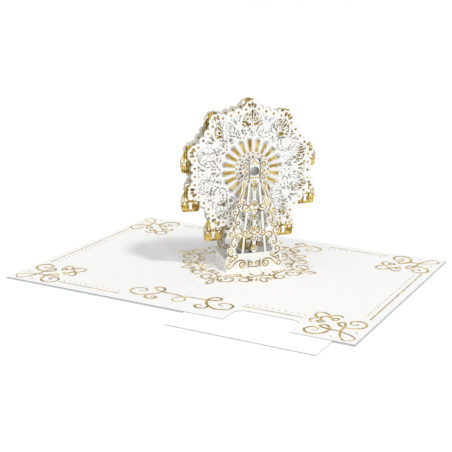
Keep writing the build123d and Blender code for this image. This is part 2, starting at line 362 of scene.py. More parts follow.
@dataclass
class Cutting:
    """Paper kept, paper cut away and threads left standing in the cuts, as closed outlines."""

    kept: list[Outline] = field(default_factory=list)
    cut: list[Outline] = field(default_factory=list)
    threads: list[Outline] = field(default_factory=list)

    def slab(self, thickness: float = PAPER) -> tuple[np.ndarray, list[list[int]], int]:
        """Closed sheet with the holes cut through.

        The outlines are joined in one constrained triangulation. A triangle is kept where it
        lies in a kept outline, and in no cut one unless a thread covers it, and loose bits fall
        out. Both faces repeat the kept triangles, and a wall stands on each edge that only one
        of them has.

        Args:
            thickness: Thickness of the sheet, half to each side of its plane.

        Returns:
            Points, faces, and how many of the faces, at the end of the list, are cut walls.
        """
        loops = self.kept + self.threads + self.cut
        sizes = np.array([len(loop) for loop in loops])
        starts = np.concatenate([[0], np.cumsum(sizes)[:-1]])
        rims = [list(range(start, start + size)) for start, size in zip(starts, sizes)]
        flat, _, triangles, _, _, owners = delaunay_2d_cdt(
            [tuple(point) for point in np.vstack(loops)], [], rims, 1, 1e-5, True)
        first_thread, first_cut = len(self.kept), len(self.kept) + len(self.threads)
        paper = [bool(owner) and min(owner) < first_thread
                 and (max(owner) < first_cut or any(first_thread <= o < first_cut for o in owner))
                 for owner in owners]
        kept = largest_sheet(np.array([face for face, is_paper in zip(triangles, paper)
                                       if is_paper]), len(flat))
        used, kept = np.unique(kept, return_inverse=True)
        kept = kept.reshape(-1, 3)
        plane = np.array([tuple(point) for point in flat])[used]
        count = len(plane)
        points = np.vstack([np.column_stack([plane, np.full(count, level)])
                            for level in (-thickness / 2, thickness / 2)])
        edges = np.vstack([kept[:, [0, 1]], kept[:, [1, 2]], kept[:, [2, 0]]])
        key = np.sort(edges, axis=1)
        _, where, times = np.unique(key, axis=0, return_inverse=True, return_counts=True)
        rim = edges[times[where.reshape(-1)] == 1]
        walls = np.column_stack([rim[:, 0] + count, rim[:, 0], rim[:, 1], rim[:, 1] + count])
        faces = kept[:, ::-1].tolist() + (kept + count).tolist() + walls.tolist()
        return points, faces, len(walls)


@dataclass(frozen=True)
class Stand:
    """Upright plane at 45 degrees to the fold: x along the wheel, y up, z to the front."""

    x: float
    y: float
    z: float

    @classmethod
    def at(cls, node: str, level: float) -> "Stand":
        """The plane through the middle of a CAD node, with its origin at a height in mm."""
        low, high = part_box(node)
        return cls((low.x + high.x) / 2 / MM, (low.y + high.y) / 2 / MM, level)

    def place(self, points: np.ndarray) -> np.ndarray:
        """Points of the plane as points of the frame: each part along its axis, plus the origin.

        Args:
            points: Points in mm.

        Returns:
            Points in metres.
        """
        slant = math.sqrt(0.5)
        axes = np.array([(slant, slant, 0), (0, 0, 1), (slant, -slant, 0)])
        return (points @ axes + np.array([self.x, self.y, self.z])) * MM


@dataclass(frozen=True)
class Flat:
    """Level plane at a height, turned clockwise by an angle about its origin."""

    x: float
    y: float
    z: float
    angle: float = 0.0

    def place(self, points: np.ndarray) -> np.ndarray:
        """Points of the plane, in mm, as points of the frame, in metres."""
        flat = turned(points[:, :2], self.angle) + np.array([self.x, self.y])
        return np.column_stack([flat, points[:, 2] + self.z]) * MM


def make_piece(name: str, points: np.ndarray, faces: list[list[int]],
               material: bpy.types.Material) -> bpy.types.Object:
    """Puts a mesh into the scene, dresses it and lets it ride on the card.

    Args:
        name: Name of the piece.
        points: Points in metres.
        faces: Faces as lists of point numbers.
        material: Its finish.

    Returns:
        The new object.
    """
    mesh = bpy.data.meshes.new(name)
    mesh.from_pydata(points.tolist(), [], faces)
    mesh.materials.append(material)
    mesh.validate()
    piece = bpy.data.objects.new(name, mesh)
    bpy.context.scene.collection.objects.link(piece)
    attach(piece, CARD)
    LOG.info("%s: %d points, %d faces", name, len(points), len(faces))
    return piece


@dataclass(frozen=True)
class SheetFinish:
    """Finishes of an upright sheet: its outer face, its cut edges and the face to the gap."""

    face: bpy.types.Material
    # Cut walls: laser scorch and painted shade.
    edge: bpy.types.Material
    # Face to the gap: painted shade in the lace, the gold itself on the cars and rays.
    gap_face: bpy.types.Material
    slot: Slot

    def cut(self, name: str, cutting: Cutting, stand: Stand) -> bpy.types.Object:
        """Cuts a sheet. Those of the front turn their lower face to the gap, others the upper.

        Args:
            name: Name of the piece, which says whether it stands in front.
            cutting: Its outlines.
            stand: Plane it stands in.

        Returns:
            The new object.
        """
        points, faces, wall_count = cutting.slab()
        piece = make_piece(name, stand.place(points), faces, self.face)
        piece.data.materials.append(self.edge)
        piece.data.materials.append(self.gap_face)
        sheet_count = (len(faces) - wall_count) // 2
        # The faces to the gap take the gap face's finish, which in the lace is painted shade.
        inner, outer = (2, 0) if "front" in name else (0, 2)
        numbers = np.repeat([inner, outer, 1], [sheet_count, sheet_count, wall_count])
        piece.data.polygons.foreach_set("material_index", numbers.astype(np.int32))
        return piece


# Finishes

def linear(colour: str) -> tuple[float, float, float, float]:
    """Linear colour of an sRGB hex value: the standard curve on each of its three parts.

    Args:
        colour: Colour as #RRGGBB.

    Returns:
        Red, green, blue and full alpha.
    """
    parts = [int(colour[i:i + 2], 16) / 255 for i in (1, 3, 5)]
    red, green, blue = (part / 12.92 if part <= 0.04045 else ((part + 0.055) / 1.055) ** 2.4
                        for part in parts)
    return red, green, blue, 1.0


def add_node(tree: bpy.types.NodeTree, kind: str, settings: dict | None = None,
             inputs: dict | None = None) -> bpy.types.Node:
    """Adds a node with its settings and its inputs.

    Args:
        tree: Node tree.
        kind: Node type.
        settings: Attributes by name.
        inputs: Socket values or linked output sockets, by name or number.

    Returns:
        The node.
    """
    node = tree.nodes.new(kind)
    for name, value in (settings or {}).items():
        setattr(node, name, value)
    for name, value in (inputs or {}).items():
        if isinstance(value, bpy.types.NodeSocket):
            tree.links.new(value, node.inputs[name])
        else:
            node.inputs[name].default_value = value
    return node


def new_material(name: str) -> tuple[bpy.types.Material, bpy.types.NodeTree]:
    """Makes an empty node material.

    Args:
        name: Name of the material.

    Returns:
        The material and its tree.
    """
    material = bpy.data.materials.new(name)
    material.use_nodes = True
    material.node_tree.nodes.clear()
    return material, material.node_tree


def set_ramp(node: bpy.types.Node, stops: list[tuple[float, str]]) -> None:
    """Sets the stops of a colour ramp.

    Args:
        node: Node with the ramp.
        stops: Places and hex colours, from low to high.
    """
    ramp = node.color_ramp
    while len(ramp.elements) < len(stops):
        ramp.elements.new(1.0)
    for element, (place, colour) in zip(ramp.elements, stops):
        element.position = place
        element.color = linear(colour)


def end_tree(tree: bpy.types.NodeTree, relief: dict, surface: dict) -> None:
    """Ends a material: its relief, the surface that bears it, and the output.

    Args:
        tree: Node tree.
        relief: Inputs of the bump.
        surface: Inputs of the surface, apart from its normal.
    """
    bump = add_node(tree, "ShaderNodeBump", {}, relief)
    shader = add_node(tree, "ShaderNodeBsdfPrincipled", {}, {
        "Normal": bump.outputs["Normal"], **surface})
    add_node(tree, "ShaderNodeOutputMaterial", {}, {"Surface": shader.outputs["BSDF"]})


@dataclass(frozen=True)
class CardStock:
    """Uncoated cotton card, calendered smooth: near-white, matt, with a faint tooth.

    The mottle is the formation of the sheet, cloudy at about a centimetre. The tooth is drawn
    at 0.5 mm, coarser than real fibres, so that it shows. A sheet that lies flat can have a
    darker tone on its faces that aren't level: painted shade along its cut edges and crease walls.
    """

    name: str
    light: str = "#F4F4F3"
    dark: str = "#F1F1F0"
    mottle_mm: float = 9.0
    tooth_mm: float = 0.5
    tooth_depth_mm: float = 0.004
    roughness: float = 0.82
    edge: str = ""

    def build(self) -> bpy.types.Material:
        """Makes the card's nodes.

        Returns:
            The material.
        """
        material, tree = new_material(self.name)
        place = add_node(tree, "ShaderNodeTexCoord").outputs["Object"]
        cloud = add_node(tree, "ShaderNodeTexNoise", {}, {
            "Vector": place, "Scale": 1 / (self.mottle_mm * MM), "Detail": 3.0})
        ramp = add_node(tree, "ShaderNodeValToRGB", {}, {"Fac": cloud.outputs["Fac"]})
        set_ramp(ramp, [(0.3, self.dark), (0.7, self.light)])
        tone = ramp.outputs["Color"]
        # Painted shade: faces that aren't level, the cut edges and crease walls, take the darker
        # edge tone.
        if self.edge:
            normal = add_node(tree, "ShaderNodeNewGeometry").outputs["True Normal"]
            rise = add_node(tree, "ShaderNodeSeparateXYZ", {}, {0: normal}).outputs["Z"]
            size = add_node(tree, "ShaderNodeMath", {"operation": "ABSOLUTE"}, {0: rise})
            level = add_node(tree, "ShaderNodeMath", {"operation": "GREATER_THAN"}, {
                0: size.outputs[0], 1: 0.5})
            tone = add_node(tree, "ShaderNodeMix", {"data_type": "RGBA"}, {
                0: level.outputs[0], 6: linear(self.edge), 7: tone}).outputs[2]
        tooth = add_node(tree, "ShaderNodeTexNoise", {}, {
            "Vector": place, "Scale": 1 / (self.tooth_mm * MM), "Detail": 2.0})
        relief = {"Height": tooth.outputs["Fac"], "Distance": self.tooth_depth_mm * MM,
                  "Strength": 0.6}
        end_tree(tree, relief, {"Base Color": tone, "Roughness": self.roughness,
                                "Specular IOR Level": 0.25})
        return material


@dataclass(frozen=True)
class GoldFoil:
    """Hot-stamped gold foil on card: satin metal that runs from ochre to pale yellow.

    Its tone drifts from ochre to pale yellow over a few millimetres, a painted reflection that
    also gives a faint relief. A grain, where it is set, is the embossed wicker of foil-faced card,
    taller than it is wide, with painted glints in its cells.
    """

    name: str
    dark: str = "#8A6412"
    middle: str = "#C9A348"
    light: str = "#EBD283"
    drift_mm: float = 5.0
    drift_depth_mm: float = 0.02
    grain_mm: float = 0.0
    grain_depth_mm: float = 0.05
    grain_tall: float = 0.35
    grain_jitter: float = 0.55
    glint_fade: float = -0.9
    glint_lift: float = 0.42
    roughness: float = 0.34
    metal: float = 0.85

    def build(self) -> bpy.types.Material:
        """Makes the foil's nodes.

        Returns:
            The material.
        """
        material, tree = new_material(self.name)
        place = add_node(tree, "ShaderNodeTexCoord").outputs["Object"]
        # Painted reflection: the noise runs the foil's tone from ochre to pale yellow, and raises
        # a faint relief.
        cloud = add_node(tree, "ShaderNodeTexNoise", {}, {
            "Vector": place, "Scale": 1 / (self.drift_mm * MM), "Detail": 1.5})
        tone = cloud.outputs["Fac"]
        relief = {"Height": tone, "Distance": self.drift_depth_mm * MM, "Strength": 0.5}
        if self.grain_mm:
            tall = add_node(tree, "ShaderNodeMapping", {}, {
                "Vector": place, "Scale": (1.0, 1.0, self.grain_tall)})
            grain = add_node(tree, "ShaderNodeTexVoronoi", {}, {
                "Vector": tall.outputs[0], "Scale": 1 / (self.grain_mm * MM),
                "Randomness": self.grain_jitter})
            # Painted glints: each grain cell is lighter in its middle and darker at its rim.
            mix = add_node(tree, "ShaderNodeMath", {"operation": "MULTIPLY_ADD"}, {
                0: grain.outputs["Distance"], 1: self.glint_fade, 2: self.glint_lift})
            total = add_node(tree, "ShaderNodeMath", {"operation": "ADD"}, {
                0: mix.outputs[0], 1: tone})
            tone = total.outputs[0]
            relief = {"Height": grain.outputs["Distance"],
                      "Distance": self.grain_depth_mm * MM, "Strength": 0.8}
        ramp = add_node(tree, "ShaderNodeValToRGB", {}, {"Fac": tone})
        set_ramp(ramp, [(0.32, self.dark), (0.5, self.middle), (0.68, self.light)])
        end_tree(tree, relief, {"Base Color": ramp.outputs["Color"], "Metallic": self.metal,
                                "Roughness": self.roughness})
        return material


# Foil print

@dataclass
class FoilPrint:
    """Strokes and dots of foil on one face of a sheet, gathered in one mesh."""

    solid: Solid = field(default_factory=Solid)
    level: float = 0.0
    facing: int = 1
    shapes: int = 0

    def _span(self, count: int) -> tuple[np.ndarray, np.ndarray]:
        """Heights of the foil's two faces along a shape.

        The outer face climbs a little along each shape and from one to the next, in a cycle of
        seven, so that no two faces lie in one plane where strokes cross.

        Args:
            count: Points along the shape.

        Returns:
            Lower and upper heights.
        """
        self.shapes += 1
        climb = FOIL_CLIMB * (1.4 * (self.shapes % 7) + np.linspace(0, 1, count))
        inner = np.full(count, self.level - self.facing * FOIL_SUNK)
        outer = self.level + self.facing * (FOIL_PROUD + climb)
        return np.minimum(inner, outer), np.maximum(inner, outer)

    def line(self, path: Outline, thin: float, thick: float | None = None) -> None:
        """Adds a stroke whose half width swells from thin to thick and back."""
        half = swell(len(path), thin, thin if thick is None else thick)
        self.solid.add(*ribbon(path, half, *self._span(len(path))))

    def fill(self, outline: Outline) -> None:
        """Adds a filled shape, turned counter-clockwise where its signed area is negative.

        Args:
            outline: Its outline.
        """
        after = np.roll(outline, -1, axis=0)
        area = np.sum(outline[:, 0] * after[:, 1] - after[:, 0] * outline[:, 1])
        low, high = self._span(1)
        self.solid.add(*prism(outline if area > 0 else outline[::-1], low[0], high[0]))

    def lines(self, paths: list[Outline], thin: float, thick: float | None = None) -> None:
        """Adds strokes."""
        for path in paths:
            self.line(path, thin, thick)

    def dots(self, spots: list[tuple[float, float]], radius: float, sides: int = 12) -> None:
        """Adds round dots at places."""
        for x, y in spots:
            self.fill(disc(x, y, radius, sides))


def make_foil(name: str, foil_shapes: Solid, plane: Stand | Flat,
              foil: bpy.types.Material) -> None:
    """Makes the gathered foil one piece on its plane.

    Args:
        name: Name of the piece.
        foil_shapes: Its strokes and dots.
        plane: Plane of the sheet that it is printed on.
        foil: Its finish.
    """
    points = plane.place(np.vstack(foil_shapes.points))
    make_piece(name, points, foil_shapes.faces, foil)


# Lace discs

@dataclass
class HubPlate:
    """What discs, sunbursts and towers share: the pair of slices that pass beside the eye."""

    node: str
    slice_offset: float = 4.0
    slice_height: float = 15.3

    @property
    def side(self) -> str:
        """Front or back, from the end of the node's name."""
        return self.node.split("_")[1]

    def hub_slits(self, hub: float = 0.0) -> list[Outline]:
        """The two slits for the hub slices, with the hub at a height over the origin."""
        return slice_slits(self.slice_offset, hub - self.slice_height / 2,
                           hub + self.slice_height / 2)


@dataclass
class WheelPlate(HubPlate):
    """What a disc and its sunburst share: the number of bars, and how far the ring is turned."""

    bar_count: int = 20
    ring_turn: float = 3.3

    def on_bars(self, outline: Outline) -> list[Outline]:
        """Copies of an upright outline, one on each bar."""
        return around([outline], self.bar_count, 180 / self.bar_count + self.ring_turn)


@dataclass
class LaceDisc(WheelPlate):
    """One lace-cut disc of the wheel: ten lobes round a sunburst of slots.

    Angles run clockwise from the top. A lobe's openings are drawn for its right half, with the
    lobe's axis as the upright. Those between two lobes are drawn in the same way, with the
    valley's axis as the upright.
    """

    lobe_count: int = 10
    body_radius: float = 40.6
    dot_rings: tuple[float, float] = (41.5, 40.55)
    dot_radius: float = 0.85
    dot_angles: tuple[float, float] = (6.2, 14.0)
    scallop: float = 2.9
    tip_ring: float = 44.3
    tip_scallop: float = 3.3
    tip_side_ring: float = 44.4
    tip_side_angle: float = 3.9
    tip_side_scallop: float = 2.05
    slot_inner: float = 12.2
    slot_outer: float = 22.1
    slot_inner_width: float = 2.3
    slot_outer_width: float = 4.2
    hoop: float = 1.45
    hoop_half: float = 0.2
    hoop_foot: float = 1.0
    hoop_foot_spread: float = 0.1
    inner_dot_ring: float = 11.3
    inner_dot_radius: float = 0.72
    hub_drop_ring: float = 8.7
    hub_drop_length: float = 1.9
    hub_drop_width: float = 1.4
    slice_clear: float = 1.2
    hang_ring: float = 44.0
    hanger_height: float = 2.9

    def rim(self) -> list[Outline]:
        """Body circle with a scallop at each dot and three at each tip.

        Returns:
            Circles that join into the disc.
        """
        spots = [turned(disc(0, ring, self.scallop, 28), side * angle)
                 for ring, angle in zip(self.dot_rings, self.dot_angles) for side in (-1, 1)]
        spots += [turned(disc(0, self.tip_side_ring, self.tip_side_scallop, 24),
                         side * self.tip_side_angle) for side in (-1, 1)]
        tip = disc(0, self.tip_ring, self.tip_scallop, 32)
        return [disc(0, 0, self.body_radius, 180)] + around(spots + [tip], self.lobe_count)

    def fleur(self) -> list[Outline]:
        """Three drops that spread in a lobe's tip, open to the gondola behind."""
        return both_sides([drop(2.1, 43.7, 198, 3.5, 2.0)]) + [drop(0, 44.85, 0, 2.5, 2.1)]

    def medallion(self) -> list[Outline]:
        """Draws the medallion's pointed opening, and the pear and crescent below it.

        Returns:
            The three openings.
        """
        side = smooth([(0, 40.6), (1.3, 40.5), (3.3, 39.45), (4.8, 38.3), (6.1, 36.7),
                       (7.0, 34.6), (7.5, 32.3), (7.2, 30.4), (6.0, 29.1), (4.6, 28.2),
                       (3.7, 27.2), (3.1, 26.0), (2.2, 26.9), (1.2, 27.9), (0.6, 28.7),
                       (0, 28.9)], 3)[::-1]
        pear_half = smooth([(0, 27.5), (0.9, 26.9), (1.55, 26.0), (1.3, 25.0), (0, 24.6)], 3)[::-1]
        smile = smooth([(-2.3, 24.5), (-1.2, 23.8), (0, 23.55), (1.2, 23.8), (2.3, 24.5)], 3)
        return [np.vstack([side[:-1], flipped(side)[1:]]),
                np.vstack([pear_half[:-1], flipped(pear_half)[1:]]),
                stroke(smile, swell(len(smile), 0.12, 0.42))]

    def threads(self) -> list[Outline]:
        """Lines left standing in the medallion: a heart, its petals, an eye and three beads.

        Returns:
            Outlines of the lines and beads.
        """
        spine = smooth([(0.95, 41.0), (1.05, 38.6), (0.7, 36.6), (0.45, 34.5), (0.35, 32.0)], 3)
        petal = smooth([(1.1, 39.7), (2.2, 39.2), (3.0, 38.0), (2.85, 36.5), (2.2, 35.0),
                        (1.5, 33.8), (0.7, 32.4)], 3)
        heart = smooth([(5.15, 36.6), (5.2, 35.6), (4.7, 34.5), (3.8, 33.5), (2.6, 32.8),
                        (1.2, 32.2), (0.2, 31.5)], 3)
        curl = smooth([(1.1, 29.4), (2.2, 28.9), (3.4, 29.2), (4.4, 30.3), (5.3, 31.4),
                       (6.3, 31.9), (7.9, 32.6)], 3)
        half = [stroke(spine, 0.27), stroke(petal, 0.28), stroke(heart, 0.36),
                stroke(curl, 0.22), bar((3.4, 36.6), (2.8, 36.4), 0.5, 0.5, 3),
                bar((6.3, 34.2), (7.7, 34.0), 0.4, 0.5, 3),
                bar((2.3, 39.2), (2.9, 40.2), 0.4, 0.5, 3),
                disc(6.3, 34.2, 0.62, 12), disc(5.3, 31.45, 0.62, 12), disc(7.1, 32.3, 0.5, 10)]
        half += self.hoops(4.35, 36.35, 0.8, 0.34)
        return both_sides(half) + self.hoops(0, 30.05, 0.95, 0.42)

    @staticmethod
    def hoops(x: float, y: float, radius: float, half: float) -> list[Outline]:
        """Round line in two halves, which together close it.

        Args:
            x, y: Centre.
            radius: Radius of its middle.
            half: Half its width.

        Returns:
            The right half and the left one.
        """
        turn = np.radians(np.linspace(-95, 95, 11))
        right = np.column_stack([radius * np.cos(turn), radius * np.sin(turn)])
        return [moved(stroke(side, half), x, y) for side in (right, -right)]

    def valley(self) -> list[Outline]:
        """Openings of the two pointed leaves that meet between two lobes."""
        half = [np.array([(2.3, 38.2), (3.2, 36.5), (4.2, 37.7), (4.65, 38.5)]),
                bar((1.05, 38.1), (2.4, 36.2), 0.65, 0.85), drop(1.2, 34.8, 188, 3.4, 1.6),
                drop(1.45, 27.4, 184, 4.3, 1.75), drop(3.2, 27.2, 198, 2.3, 1.4),
                drop(2.75, 24.4, 212, 2.9, 1.5), drop(4.7, 25.9, 205, 1.7, 0.7),
                drop(1.0, 23.2, 190, 1.9, 0.9)]
        return [turned(slit, 180 / self.lobe_count) for slit in both_sides(half)]

    def ring(self) -> list[Outline]:
        """Slots of the sunburst, each a bar that widens outward.

        Returns:
            One slot for each bar.
        """
        half_in, half_out = self.slot_inner_width / 2, self.slot_outer_width / 2
        slot = bar((0, self.slot_inner + half_in), (0, self.slot_outer - half_out),
                   2 * half_in, 2 * half_out, 7)
        return self.on_bars(slot)

    def ring_threads(self) -> list[Outline]:
        """Thin lines left standing round the outer ends of the slots.

        Returns:
            One line for each slot.
        """
        centre = self.slot_outer - self.slot_outer_width / 2
        sweep = np.radians(np.linspace(-95, 95, 13))
        bend = np.column_stack([self.hoop * np.sin(sweep), centre + self.hoop * np.cos(sweep)])
        foot = np.array([(self.slot_inner_width / 2 + self.hoop_foot_spread,
                          self.slot_inner + self.hoop_foot)])
        path = np.vstack([foot * [-1, 1], bend, foot])
        return self.on_bars(stroke(path, self.hoop_half))

    def hub_drops(self) -> list[Outline]:
        """Small drops round the hub, left out where the slices pass."""
        upright = drop(0, self.hub_drop_ring, 0, self.hub_drop_length, self.hub_drop_width)
        return [slit for slit in around([upright], self.bar_count, self.ring_turn)
                if abs(abs(slit[:, 0].mean()) - self.slice_offset) > self.slice_clear]

    def slits(self) -> list[Outline]:
        """Upright slits for the two hub slices and for the hangers' tabs.

        Returns:
            Two long slits, then one for each lobe.
        """
        half, rise = (PAPER + CUT_PLAY) / 2, self.hanger_height / 2
        angles = np.radians(np.arange(self.lobe_count) * 360 / self.lobe_count)
        return self.hub_slits() + [
            moved(box(-half, -rise, half, rise), self.hang_ring * math.sin(angle),
                  self.hang_ring * math.cos(angle)) for angle in angles]

    def cutting(self) -> Cutting:
        """Gathers the rim, all openings and the threads in them.

        Returns:
            The disc's outlines.
        """
        lobe = self.fleur() + self.medallion() + self.valley()
        cut = around(lobe, self.lobe_count) + self.ring() + self.hub_drops() + self.slits()
        threads = around(self.threads(), self.lobe_count) + self.ring_threads()
        return Cutting(self.rim(), cut, threads)

    def dot_spots(self) -> tuple[list[tuple[float, float]], list[tuple[float, float]]]:
        """Finds where the foil dots are.

        Returns:
            Places on the rim, and places round the hub.
        """
        rim = around([turned(np.array([(0.0, ring)]), side * angle)
                      for ring, angle in zip(self.dot_rings, self.dot_angles)
                      for side in (-1, 1)], self.lobe_count)
        hub = around([np.array([(0.0, self.inner_dot_ring)])], self.bar_count, self.ring_turn)
        return [tuple(spot[0]) for spot in rim], [tuple(spot[0]) for spot in hub]

    def build(self, stand: Stand, paper: SheetFinish, foil: bpy.types.Material) -> None:
        """Makes the disc and its foil dots on both faces.

        Args:
            stand: Plane of the disc, with its origin at the hub.
            paper: Finish of the card.
            foil: Finish of the dots.
        """
        lace = paper.cut(f"lace_disc_{self.side}", self.cutting(), stand)
        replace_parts(lace, self.node)
        prints = Solid()
        rim, hub = self.dot_spots()
        for facing in (-1, 1):
            face = FoilPrint(prints, facing * PAPER / 2, facing)
            face.dots(rim, self.dot_radius)
            face.dots(hub, self.inner_dot_radius, 10)
        make_foil(f"disc_foil_{self.side}", prints, stand, foil)


@dataclass
class Sunburst(WheelPlate):
    """Gold ring with round-ended bars that show through the slots of a disc."""

    bar_width: float = 1.9
    bar_inner: float = 10.0
    bar_outer: float = 20.0
    ring_outer: float = 11.0
    ring_inner: float = 6.2

    def build(self, stand: Stand, gold: SheetFinish) -> None:
        """Makes the ring.

        Args:
            stand: Plane of the ring, with its origin at the hub.
            gold: Finish of the card.
        """
        ray = bar((0, self.bar_inner), (0, self.bar_outer - self.bar_width / 2),
                  self.bar_width, self.bar_width, 8)
        cutting = Cutting([disc(0, 0, self.ring_outer, 60)] + self.on_bars(ray),
                          [disc(0, 0, self.ring_inner, 40)] + self.hub_slits())
        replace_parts(gold.cut(f"gold_{self.node}", cutting, stand), self.node)


# Gondolas

@dataclass
class Gondola:
    """Gold pagoda car in flat card, hung by its mast; heights run from the hang point."""

    rise: float = 4.2
    bottom: float = -15.0
    rail: float = -9.7
    half_width: float = 6.4
    corner: float = 1.9
    slot_height: float = 2.9
    top_play: float = 0.02

    def kept(self) -> list[Outline]:
        """Bell-shaped top, two legs that split into ribs, side loops, port rings and basket.

        Returns:
            Outlines that join into the car.
        """
        leg = smooth([(1.4, 2.0), (2.3, 0.3), (3.2, -1.5), (3.9, -3.6), (4.3, -6.0), (4.4, -8.0)])
        inner = smooth([(3.0, -2.6), (2.5, -4.6), (2.0, -6.2), (1.8, -7.8)])
        loop = smooth([(3.0, -0.1), (4.3, -1.3), (6.0, -4.1), (6.8, -6.6), (6.6, -8.4),
                       (6.2, -10.0)])
        second = smooth([(3.8, -1.4), (5.2, -4.2), (5.8, -6.8), (5.9, -9.0)])
        side = [stroke(leg, np.interp(np.linspace(0, 1, len(leg)), [0, 0.22, 0.42, 0.62, 1],
                                      [1.9, 1.05, 1.55, 0.75, 0.5])),
                stroke(inner, np.linspace(0.9, 0.65, len(inner))), stroke(loop, 0.25),
                stroke(second, 0.2),
                disc(self.half_width - 0.1, self.rail - 0.4, 0.9, 14),
                disc(4.15, self.rail + 0.8, 1.5, 20), disc(1.6, 2.2, 1.65, 20)]
        low = self.bottom + self.corner
        top = [disc(0, self.rise - 1.75, 1.75, 20), bar((0, 2.6), (0, -0.9), 3.4, 1.6)]
        basket = [box(-4.2, self.rail - 0.2, 4.2, self.rail + 2.2),
                  disc(0, self.rail + 1.9, 1.2, 16),
                  box(-self.half_width, low, self.half_width, self.rail),
                  box(self.corner - self.half_width, self.bottom,
                      self.half_width - self.corner, self.rail)]
        basket += both_sides([disc(self.half_width - self.corner, low, self.corner, 24)])
        ceiling = (np.inf, self.rise - self.top_play)
        return [np.minimum(outline, ceiling) for outline in both_sides(side) + top + basket]

    def cut(self) -> list[Outline]:
        """Door with a cross bar, round ports and a slot for the hanger.

        Returns:
            The openings.
        """
        half = (PAPER + CUT_PLAY) / 2
        rise = self.slot_height / 2
        door = [box(-0.95, self.bottom + 1.6, 0.95, self.rail + 0.6),
                box(-1.6, self.rail + 0.2, 1.6, self.rail + 1.3)]
        side = [disc(4.15, self.rail + 0.8, 0.8, 14)]
        return door + both_sides(side) + [box(-half, -rise, half, rise)]

    def build(self, number: int, gold: SheetFinish) -> None:
        """Makes one car where its CAD node hangs.

        Args:
            number: 1 to 10.
            gold: Finish of the card.
        """
        node = f"gondola_{number:02d}"
        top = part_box(node)[1].z / MM
        stand = Stand.at(node, top - self.rise)
        piece = gold.cut(f"car_{number:02d}", Cutting(self.kept(), self.cut()), stand)
        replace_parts(piece, node)


# Towers

